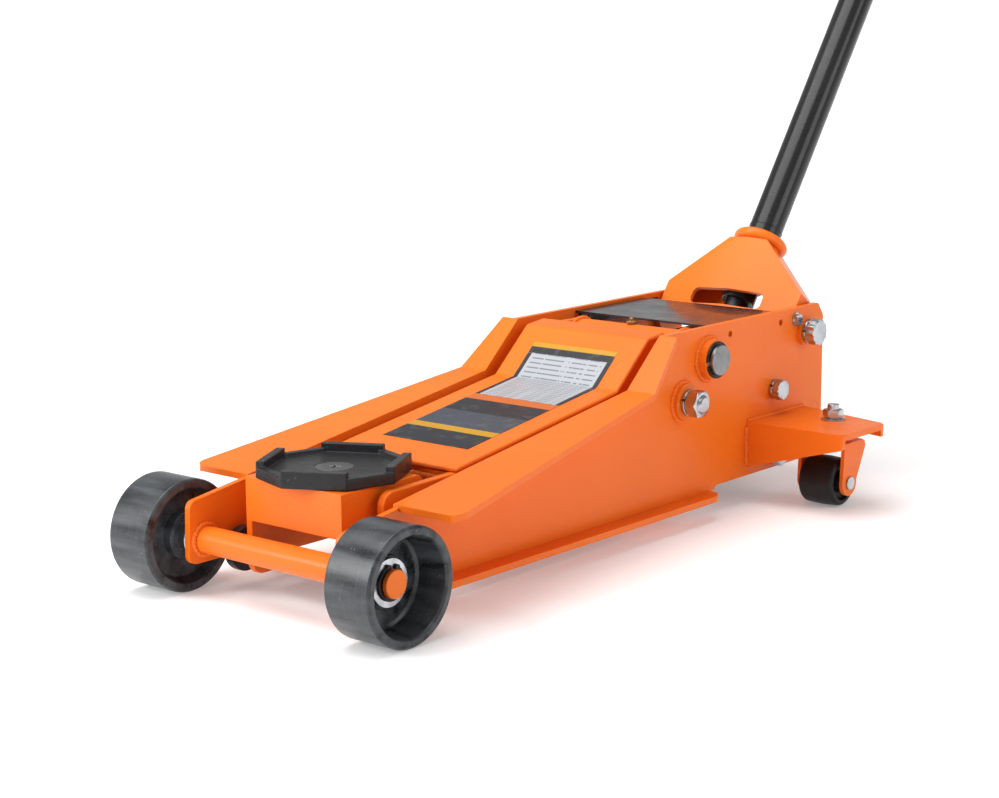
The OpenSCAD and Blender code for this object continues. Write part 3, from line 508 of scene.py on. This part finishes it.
def breakEdges(piece, width, steps=3):
    for face in piece.data.polygons:
        face.use_smooth = True
    flat = piece.modifiers.new("flatFaces", "DECIMATE")
    flat.decimate_type = "DISSOLVE"
    flat.angle_limit = math.radians(0.4)
    edge = piece.modifiers.new("brokenEdges", "BEVEL")
    edge.width = width
    edge.segments = steps
    edge.limit_method = "ANGLE"
    edge.angle_limit = math.radians(32)
    edge.use_clamp_overlap = True
    normals = piece.modifiers.new("evenNormals", "WEIGHTED_NORMAL")
    normals.keep_sharp = True
    normals.weight = 90


def finishFrame():
    for name, piece in nodes.items():
        slotName = slotOf[name]
        finish = finishOf[slotName]
        if name in ("left_front_roller", "right_front_roller"):
            finish = rollerBlack
        piece.data.materials.clear()
        piece.data.materials.append(finish)
        weld = piece.modifiers.new("joined", "WELD")
        weld.merge_threshold = 0.00001
        breakEdges(piece, edgeWidth.get(name, edgeWidth["usual"]))


finishFrame()


def keepMesh(name, mesh, finish, body=None):
    piece = bpy.data.objects.new(name, mesh)
    bpy.context.scene.collection.objects.link(piece)
    mesh.materials.clear()
    mesh.materials.append(finish)
    for face in mesh.polygons:
        face.use_smooth = True
    if body:
        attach(piece, body)
    return piece


def meshFrom(name, points, faces):
    mesh = bpy.data.meshes.new(name)
    mesh.from_pydata([tuple(p) for p in points], [], faces)
    shape = bmesh.new()
    shape.from_mesh(mesh)
    bmesh.ops.remove_doubles(shape, verts=shape.verts, dist=0.000002)
    bmesh.ops.recalc_face_normals(shape, faces=shape.faces)
    shape.to_mesh(mesh)
    shape.free()
    return mesh


def ringFaces(rings, steps, closed):
    faces = []
    for ring in range(rings if closed else rings - 1):
        after = (ring + 1) % rings
        for step in range(steps):
            beside = (step + 1) % steps
            low, high = ring * steps, after * steps
            faces.append((low + step, low + beside, high + beside, high + step))
    return faces


def ringPoint(matrix, radius, angle, height):
    # a point given in millimetres round the local z axis
    return matrix @ (Vector((radius * math.cos(angle), radius * math.sin(angle), height)) / 1000)


def turnedPoints(profile, steps, matrix):
    # profile: (radius, height) in millimetres round the local z axis
    points = []
    for radius, height in profile:
        for step in range(steps):
            angle = 2 * math.pi * step / steps
            points.append(ringPoint(matrix, radius, angle, height))
    return points


def outwards(point, side):
    # local z points away from the jack's centre plane on that side
    return Matrix.Translation(point) @ Matrix.Rotation(side * math.pi / 2, 4, "Y")


def upwards(point):
    return Matrix.Translation(point)


def alongHandle(height):
    spin = Matrix.Rotation(handleTilt - math.pi / 2, 4, "X")
    return Matrix.Translation(onHandle(0, 0, height)) @ spin


def hexProfile(points, faces, flats, height, matrix, hole=0, washer=0.6):
    # hexagon head or nut with chamfered corners and a round washer face under it
    steps = 72
    inner = flats / 2 * 0.95
    lead = 0.9  # chamfer at the mouth of the hole
    chamfer = math.tan(math.radians(28))
    first = len(points)
    rows = []

    def hexRadius(angle):
        folded = (angle + math.pi / 6) % (math.pi / 3) - math.pi / 6
        return flats / 2 / math.cos(folded)

    def row(radius, level):
        ring = []
        for step in range(steps):
            angle = 2 * math.pi * step / steps
            r = radius(angle)
            z = level(r)
            ring.append(ringPoint(matrix, r, angle, z))
        rows.append(ring)

    start = hole / 2 if hole else 0.01
    if hole:
        row(lambda a: start, lambda r: 0)
    row(lambda a: inner * 0.98, lambda r: 0)
    row(lambda a: inner * 0.98, lambda r: washer)
    row(lambda a: inner, lambda r: washer)
    row(hexRadius, lambda r: washer + max(0, r - inner) * chamfer)
    row(hexRadius, lambda r: height - max(0, r - inner) * chamfer)
    row(lambda a: inner, lambda r: height)
    if hole:
        row(lambda a: start + lead, lambda r: height)
        row(lambda a: start, lambda r: height - lead)
    else:
        row(lambda a: start, lambda r: height)
        rows.insert(0, [matrix @ Vector((0, 0, 0)) for step in range(steps)])
    for ring in rows:
        points.extend(ring)
    for face in ringFaces(len(rows), steps, bool(hole)):
        faces.append(tuple(first + index for index in face))


def threadProfile(points, faces, diameter, pitch, length, matrix):
    # a screw thread standing up the local z axis, with a chamfered end
    steps, perTurn = 48, 6
    rings = int(length / pitch * perTurn) + 1
    depth = pitch * 0.55
    flank, endRim, endSlope = 1.15, 0.3, 0.9
    first = len(points)
    for ring in range(rings):
        height = length * ring / (rings - 1)
        for step in range(steps):
            angle = 2 * math.pi * step / steps
            phase = (height / pitch - step / steps) % 1
            cut = depth * min(1, abs(2 * phase - 1) * flank)
            radius = diameter / 2 - cut
            endRadius = diameter / 2 - depth - endRim + (length - height) * endSlope
            radius = min(radius, endRadius)
            points.append(ringPoint(matrix, radius, angle, height))
    for face in ringFaces(rings, steps, False):
        faces.append(tuple(first + index for index in face))
    for ring in (0, rings - 1):
        centre = len(points)
        points.append(matrix @ Vector((0, 0, length * ring / (rings - 1) / 1000)))
        for step in range(steps):
            cap = (centre, first + ring * steps + step, first + ring * steps + (step + 1) % steps)
            faces.append(cap if ring else cap[::-1])


def turned(points, faces, profile, matrix, steps=64):
    first = len(points)
    points.extend(turnedPoints(profile, steps, matrix))
    for face in ringFaces(len(profile), steps, False):
        faces.append(tuple(first + index for index in face))
    for ring in (0, len(profile) - 1):
        if profile[ring][0] > 0.001:
            cap = tuple(first + ring * steps + step for step in range(steps))
            faces.append(cap if ring else cap[::-1])


def sharpen(piece, degrees=32):
    # keeps hard corners hard and round faces smooth
    shape = bmesh.new()
    shape.from_mesh(piece.data)
    limit = math.radians(degrees)
    for edge in shape.edges:
        edge.smooth = len(edge.link_faces) == 2 and edge.calc_face_angle(0) < limit
    shape.to_mesh(piece.data)
    shape.free()
    normals = piece.modifiers.new("evenNormals", "WEIGHTED_NORMAL")
    normals.keep_sharp = True
    return piece


print("bolts and nuts")
threadGap = 0.1
boltSet = {  # millimetres; profiles are (radius, height) along the bolt
    "stud": {
        "flats": 24,
        "nut": 13,
        "from": 103.2,
        "end": 119.4,
        "sunk": 3,
        "overrun": 2.8,
        "pitch": 2.0,
        "diameter": 16,
        "shank": ((0.001, 72.4), (13, 72.4), (13, 74), (8, 74), (8, 100.4), (0.001, 100.4)),
        "washer": ((8.1, 83.9), (15, 83.9), (15, 86.9), (8.1, 86.9)),
    },
    "pump": {"flats": 19, "head": 8.3, "from": 97},
    "pivot": {"flats": 24, "head": 11.3, "from": 101},
    "caster": {
        "flats": 18,
        "nut": 8.5,
        "from": 85,
        "nutSeat": 2.4,
        "threadSeat": 1,
        "run": 14.8,
        "pitch": 1.75,
        "diameter": 12,
        "washer": ((6.1, 0), (12.6, 0), (12.6, 1.4), (9.4, 2.6), (6.1, 2.6)),
    },
}


def makeBolts(sizes):
    studs, shanks, pumps, pivotHeads, casters, casterThreads = (([], []) for _ in range(6))
    stud, pump, pivot, caster = (sizes[kind] for kind in ("stud", "pump", "pivot", "caster"))
    for side in (-1, 1):
        seat = outwards(place(side * stud["from"], *pivots["rodStud"]), side)
        hexProfile(*studs, stud["flats"], stud["nut"], seat, stud["diameter"] + threadGap)
        seat = outwards(place(side * (stud["from"] - stud["sunk"]), *pivots["rodStud"]), side)
        run = stud["end"] - stud["from"] + stud["overrun"]
        threadProfile(*shanks, stud["diameter"] - threadGap, stud["pitch"], run, seat)
        middle = outwards(place(0, *pivots["rodStud"]), side)
        turned(*shanks, stud["shank"], middle)
        turned(*shanks, stud["washer"], middle)
        for y, z in pivots["pumpBolts"]:
            seat = outwards(place(side * pump["from"], y, z), side)
            hexProfile(*pumps, pump["flats"], pump["head"], seat)
        seat = outwards(place(side * pivot["from"], *pivots["handle"]), side)
        hexProfile(*pivotHeads, pivot["flats"], pivot["head"], seat)
        x, y = pivots["caster"]
        turned(*casters, caster["washer"], upwards(place(side * x, y, caster["from"])))
        seat = upwards(place(side * x, y, caster["from"] + caster["nutSeat"]))
        hexProfile(*casters, caster["flats"], caster["nut"], seat, caster["diameter"] + threadGap)
        seat = upwards(place(side * x, y, caster["from"] + caster["threadSeat"]))
        diameter = caster["diameter"] - threadGap
        threadProfile(*casterThreads, diameter, caster["pitch"], caster["run"], seat)
    made = (
        ("studNuts", studs, ("rod_nuts",)),
        ("studShanks", shanks, ("rod_studs",)),
        ("pumpBoltHeads", pumps, ()),
        ("pivotBoltHeads", pivotHeads, ()),
        ("casterNuts", casters, ("caster_nuts",)),
        ("casterThreads", casterThreads, ()),
    )
    for name, (points, faces), replaced in made:
        piece = keepMesh(name, meshFrom(name, points, faces), zincPlate, "chassis")
        sharpen(piece, 38)
        if replaced:
            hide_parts(*replaced)


makeBolts(boltSet)

print("weld beads and springs")


def pathTree(name, finish):
    tree = bpy.data.node_groups.new(name, "GeometryNodeTree")
    face = tree.interface
    face.new_socket("Geometry", in_out="INPUT", socket_type="NodeSocketGeometry")
    usual = {"Radius": 0.002, "Step": 0.0005, "Ripple": 0.1, "Ripple length": 0.003}
    for label, value in usual.items():
        face.new_socket(label, in_out="INPUT", socket_type="NodeSocketFloat").default_value = value
    face.new_socket("Seed", in_out="INPUT", socket_type="NodeSocketInt").default_value = 4
    face.new_socket("Geometry", in_out="OUTPUT", socket_type="NodeSocketGeometry")
    given = tree.nodes.new("NodeGroupInput").outputs
    path = add(tree, "GeometryNodeMeshToCurve", {"Mesh": given["Geometry"]}).outputs["Curve"]
    resample = add(tree, "GeometryNodeResampleCurve", {"Curve": path})
    resample.mode = "LENGTH"
    tree.links.new(given["Step"], resample.inputs["Length"])
    run = tree.nodes.new("GeometryNodeSplineParameter").outputs["Length"]
    turns = sums(tree, "DIVIDE", run, given["Ripple length"])
    wave = sums(tree, "SINE", sums(tree, "MULTIPLY", turns, 2 * math.pi))
    seedStep = sums(tree, "MULTIPLY", given["Seed"], 3.7)
    drift = sums(tree, "ADD", sums(tree, "MULTIPLY", turns, 0.45), seedStep)
    rough = add(tree, "ShaderNodeTexNoise", {"W": drift}, noise_dimensions="1D")
    uneven = sums(tree, "MULTIPLY", sums(tree, "SUBTRACT", rough.outputs["Fac"], 0.5), 3.0)
    mixed = sums(tree, "ADD", wave, uneven)
    factor = sums(tree, "MULTIPLY_ADD", mixed, given["Ripple"], 1.0)
    wires = {"Curve": resample.outputs["Curve"], "Radius": factor}
    thick = add(tree, "GeometryNodeSetCurveRadius", wires)
    wires = {"Resolution": 12, "Radius": given["Radius"]}
    ring = add(tree, "GeometryNodeCurvePrimitiveCircle", wires)
    wires = {
        "Curve": thick.outputs["Curve"],
        "Profile Curve": ring.outputs["Curve"],
        "Fill Caps": True,
    }
    tube = add(tree, "GeometryNodeCurveToMesh", wires)
    if "Scale" in tube.inputs:
        tree.links.new(factor, tube.inputs["Scale"])
    real = add(tree, "GeometryNodeRealizeInstances", {"Geometry": tube.outputs["Mesh"]})
    wires = {"Geometry": real.outputs["Geometry"], "Material": finish}
    painted = add(tree, "GeometryNodeSetMaterial", wires)
    output = tree.nodes.new("NodeGroupOutput")
    tree.links.new(painted.outputs["Geometry"], output.inputs["Geometry"])
    return tree


def growAlong(name, tree, paths, look, finish, body=None):
    points, edges = [], []
    for path, closed in paths:
        first = len(points)
        points.extend(tuple(p) for p in path)
        edges.extend((first + i, first + i + 1) for i in range(len(path) - 1))
        if closed:
            edges.append((first + len(path) - 1, first))
    mesh = bpy.data.meshes.new(name + "Path")
    mesh.from_pydata(points, edges, [])
    base = bpy.data.objects.new(name + "Path", mesh)
    bpy.context.scene.collection.objects.link(base)
    grower = base.modifiers.new("grow", "NODES")
    grower.node_group = tree
    for item in tree.interface.items_tree:
        if item.item_type == "SOCKET" and item.in_out == "INPUT" and item.name in look:
            grower[item.identifier] = look[item.name]
    bpy.context.view_layer.update()
    graph = bpy.context.evaluated_depsgraph_get()
    made = bpy.data.meshes.new_from_object(base.evaluated_get(graph))
    base.modifiers.remove(grower)
    bpy.data.objects.remove(base)
    return keepMesh(name, made, finish, body)


def circlePath(centre, radius, normal, steps=64):
    # a circle about centre, in the plane across normal
    spin = Vector((0, 0, 1)).rotation_difference(Vector(normal)).to_matrix()
    path = []
    for step in range(steps):
        angle = math.radians(360 * step / steps)
        path.append(centre + spin @ Vector((math.cos(angle), math.sin(angle), 0)) * radius / 1000)
    return path, True


def linePath(first, last, steps=24):
    return [first.lerp(last, step / steps) for step in range(steps + 1)], False


def coilPath(start, end, radius, turns, hooks):
    # a helix between two points along y, with a hook at each end if asked for
    path = []
    steps = int(turns * 28)
    for step in range(steps + 1):
        share = step / steps
        angle = 2 * math.pi * turns * share
        centre = start.lerp(end, share)
        path.append(centre + Vector((math.cos(angle), 0, math.sin(angle))) * radius / 1000)
    if hooks:
        for tip, index, sense in ((start, 0, -1), (end, -1, 1)):
            bend = [math.pi * k / 10 for k in range(11)]
            arc = [Vector((0, sense * math.sin(a), math.cos(a))) for a in bend]
            hook = [tip + spoke * radius / 1000 for spoke in arc]
            path = hook[::-1] + path if index == 0 else path + hook
    return path, False


weldTree = pathTree("bead along a path", orangePaint)
wireTree = pathTree("wire along a path", bareSteel)
weldSet = {
    "axle": {"Radius": 0.0024, "Step": 0.0006, "Ripple": 0.12, "Ripple length": 0.0032, "Seed": 3},
    "seam": {"Radius": 0.0022, "Step": 0.0006, "Ripple": 0.10, "Ripple length": 0.0035, "Seed": 7},
}


pivotRings = (  # distance out from the centre plane, centre, and radius of each ring of weld
    (innerX - 0.5, pivots["axle"], 13.2),
    (outerX + 0.3, pivots["axle"], 13.0),
    (outerX + 0.2, pivots["shaft"], 20.6),
    (outerX + 0.2, pivots["rodStud"], 18.6),
)
bracketSeams = (  # the ends of each seam round a caster bracket's web
    ((563, 85.6), (667, 85.6)),
    ((569, 78.4), (663, 78.4)),
    ((561.5, 41), (561.5, 80)),
    ((568.6, 41), (568.6, 78)),
)
sleeveSeam = {"height": 90.4, "radius": 20.9, "x": 19.5, "y": -12, "from": 89, "to": 46}


def makeWelds(sizes):
    acrossJack = (1, 0, 0)
    rings, seams = [], []
    for side in (-1, 1):
        for x, centre, radius in pivotRings:
            rings.append(circlePath(place(side * x, *centre), radius, acrossJack))
        for first, last in bracketSeams:
            x = side * (outerX + 0.6)
            seams.append(linePath(place(x, *first), place(x, *last)))
    armRings = [
        circlePath(place(side * 63.6, *pivots["shaft"]), 25.6, acrossJack) for side in (-1, 1)
    ]
    armRings.append(linePath(place(-62, 149, 97.5), place(62, 149, 97.5)))
    look = sleeveSeam
    upTube = onHandle(0, 0, 1) - onHandle(0, 0, 0)
    sleeve = [circlePath(onHandle(0, 0, look["height"]), look["radius"], upTube)]
    for side in (-1, 1):
        first = onHandle(side * look["x"], look["y"], look["from"])
        last = onHandle(side * look["x"], look["y"], look["to"])
        sleeve.append(linePath(first, last))
    made = (
        ("pivotWelds", rings, "axle", "chassis"),
        ("bracketWelds", seams, "seam", "chassis"),
        ("armWelds", armRings, "seam", "lift_arm"),
        ("sleeveWelds", sleeve, "seam", "handle_socket"),
    )
    for name, paths, bead, body in made:
        growAlong(name, weldTree, paths, sizes[bead], orangePaint, body)


makeWelds(weldSet)

springSet = {
    "return": {
        "x": 62,
        "z": 80.8,
        "from": 557.5,
        "to": 682,
        "hookFront": 6,
        "hookRear": 5,
        "held": 4,
        "radius": 5.9,
        "turns": 34,
        "wire": 0.0011,
    },
    "plunger": {
        "x": -35,
        "z": 137,
        "from": 627.6,
        "to": 650,
        "radius": 9.4,
        "turns": 6,
        "wire": 0.0008,
    },
}


def wireLook(radius):
    return {"Radius": radius, "Step": 0.0012, "Ripple": 0.0, "Ripple length": 0.01, "Seed": 1}


def makeSprings(sizes):
    look = sizes["return"]
    paths = []
    for side in (-1, 1):
        start = place(side * look["x"], look["from"] + look["hookFront"], look["z"])
        end = place(side * look["x"], look["to"] - look["hookRear"], look["z"])
        paths.append(coilPath(start, end, look["radius"], look["turns"], True))
    wires = wireLook(look["wire"])
    springs = growAlong("returnSprings", wireTree, paths, wires, bareSteel)
    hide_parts("return_springs")
    start = place(0, look["from"] + look["held"], look["z"])
    end = place(0, look["to"] - look["held"], look["z"])
    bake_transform(springs)
    look = sizes["plunger"]
    start = place(look["x"], look["from"], look["z"])
    end = place(look["x"], look["to"], look["z"])
    wires = wireLook(look["wire"])
    path = coilPath(start, end, look["radius"], look["turns"], False)
    spring = growAlong("plungerSpring", wireTree, [path], wires, bareSteel)
    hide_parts("plunger_spring")
    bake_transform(spring)


makeSprings(springSet)

print("handle")
gripSet = {"from": 1016, "to": 1156, "radius": 20.7, "ribs": 26, "ribDepth": 1.1}
tubeSet = {"radius": 18, "line": 114, "joint": 598.5, "button": 570}


def makeGrip(look):
    first, last, full = look["from"], look["to"], look["radius"]
    profile = [(18.05, first), (full - 0.8, first), (full, first + 1.2), (full, first + 6)]
    pitch = (last - first - 24) / look["ribs"]
    low = full - look["ribDepth"]
    for rib in range(look["ribs"]):
        base = first + 8 + rib * pitch
        profile += [(low, base), (low, base + pitch * 0.3)]
        profile += [(full, base + pitch * 0.45), (full, base + pitch * 0.85)]
    profile += [(full, last - 14), (full, last - 4), (full - 1, last - 1.2)]
    profile += [(full - 4, last - 0.1), (4, last - 0.1), (3, last - 1), (0.001, last - 1)]
    points, faces = [], []
    turned(points, faces, profile, alongHandle(0), 72)
    mesh = meshFrom("handGrip", points, faces)
    piece = keepMesh("handGrip", mesh, gripRubber, "handle")
    sharpen(piece, 40)
    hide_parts("handle_grip")


makeGrip(gripSet)


def makeTubeDetails(look):
    # the rolled line low on the tube, the joint of its two lengths and the button that locks them
    points, faces = [], []
    r = look["radius"]
    for height in (look["line"], look["joint"]):
        ridge = [(r - 1, -1.3), (r + 0.25, -0.9), (r + 0.45, 0), (r + 0.25, 0.9), (r - 1, 1.3)]
        turned(points, faces, ridge, alongHandle(height), 72)
    rings = meshFrom("tubeRings", points, faces)
    ringPiece = keepMesh("tubeRings", rings, blackPaint, "handle")
    sharpen(ringPiece, 40)
    points, faces = [], []
    facing = alongHandle(look["button"]) @ Matrix.Rotation(math.pi / 2, 4, "X")
    dome = [(4.2, 14), (4.2, 17.6), (4.0, 19), (3.2, 20.2), (1.8, 20.9), (0.001, 21.1)]
    turned(points, faces, dome, facing, 32)
    mesh = meshFrom("lockButton", points, faces)
    button = keepMesh("lockButton", mesh, zincPlate, "handle")
    sharpen(button, 40)


makeTubeDetails(tubeSet)

print("small trim")


clipSet = {"x": 131.6, "radius": 13.4, "middle": 82, "lean": 22}
eyeProfile = (
    (0.001, 0), (2.6, 0), (2.8, 0.3), (2.8, 1.7), (2.6, 2), (0.9, 2), (0.7, 1.2), (0.001, 1.2),
)


def makeAxleClips(look):
    # the two eyes of each retaining ring on the front axle
    points, faces = [], []
    axleBack, axleUp = pivots["axle"]
    for side in (-1, 1):
        for lean in (-look["lean"], look["lean"]):
            angle = math.radians(look["middle"] + lean)
            y = axleBack + look["radius"] * math.cos(angle)
            z = axleUp + look["radius"] * math.sin(angle)
            turned(points, faces, eyeProfile, outwards(place(side * look["x"], y, z), side), 24)
    eyes = meshFrom("axleClipEyes", points, faces)
    piece = keepMesh("axleClipEyes", eyes, blackOxide, "chassis")
    sharpen(piece, 40)


makeAxleClips(clipSet)

nippleFoot = 183.42  # height of the grease nipple's seat on the hub


def makeNipple():
    points, faces = [], []
    base = upwards(place(0, pivots["shaft"][0], nippleFoot))
    hexProfile(points, faces, 9, 3, base, 0, 0.2)
    neck = [(2.2, 2.9), (2.2, 4), (1.5, 4.4), (1.5, 5)]
    ball = [(2.4, 5.6), (2.4, 6.4), (1.6, 6.9), (0.001, 6.9)]
    turned(points, faces, neck + ball, base, 32)
    mesh = meshFrom("greaseNipple", points, faces)
    piece = keepMesh("greaseNipple", mesh, brassMetal, "lift_arm")
    sharpen(piece, 40)
    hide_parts("grease_nipple")


makeNipple()

print("floor")


def makeFloor():
    half = 30
    corners = [(-half, -half, 0), (half, -half, 0), (half, half, 0), (-half, half, 0)]
    mesh = meshFrom("floor", corners, [(0, 1, 2, 3)])
    floor = bpy.data.objects.new("studioFloor", mesh)
    bpy.context.scene.collection.objects.link(floor)
    made, tree, shader, spot = startFinish("paleFloor")
    cloud = spread(tree, grain(tree, spot, 1.5, 2), 0.3, 0.7, 0, 1)
    pale = blendColour(tree, cloud, (0.86, 0.86, 0.86), (0.88, 0.88, 0.88))
    away = add(tree, "ShaderNodeVectorMath", {0: spot}, operation="LENGTH").outputs["Value"]
    # the floor glows, faintly near the jack and more further away: painted light that lifts its
    # shadows and whitens it towards the horizon
    surface = {
        "Base Color": pale,
        "Emission Strength": spread(tree, away, 0.6, 3.5, 0.22, 0.85),  # whiter further away
        "Emission Color": (1, 1, 1, 1),
        "Roughness": 0.7,
        "Specular IOR Level": 0.2,
    }
    wire(tree, shader, surface)
    mesh.materials.append(made)


makeFloor()

print("done")
